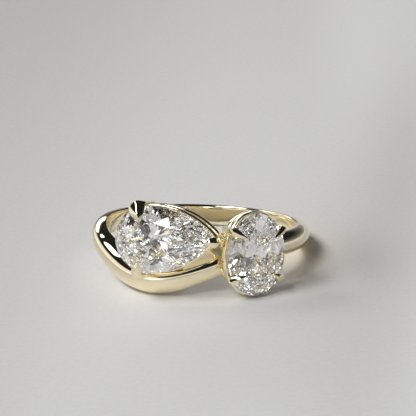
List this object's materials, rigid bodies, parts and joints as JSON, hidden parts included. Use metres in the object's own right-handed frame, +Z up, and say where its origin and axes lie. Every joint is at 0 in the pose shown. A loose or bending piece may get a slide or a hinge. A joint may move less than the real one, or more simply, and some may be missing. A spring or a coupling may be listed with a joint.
{
  "type": "toi et moi ring",
  "caption": "Gold ring whose band crosses low on one side and carries a pear stone beside an oval one, each on two rails under claws.",
  "frame": {"origin": "middle of the finger hole, at half the width of the plain band", "axes": "+Z up from the table that the ring lies on, -Y towards the two stones; the finger hole's axis leans from +Z as the ring lies"},
  "size_m": [0.0196, 0.0224, 0.0092],
  "materials": {
    "gold": "polished",
    "stone": "cut and polished"
  },
  "bodies": {
    "root": {"ring_mount": "gold", "pear_stone": "stone", "oval_stone": "stone"}
  },
  "joints": []
}
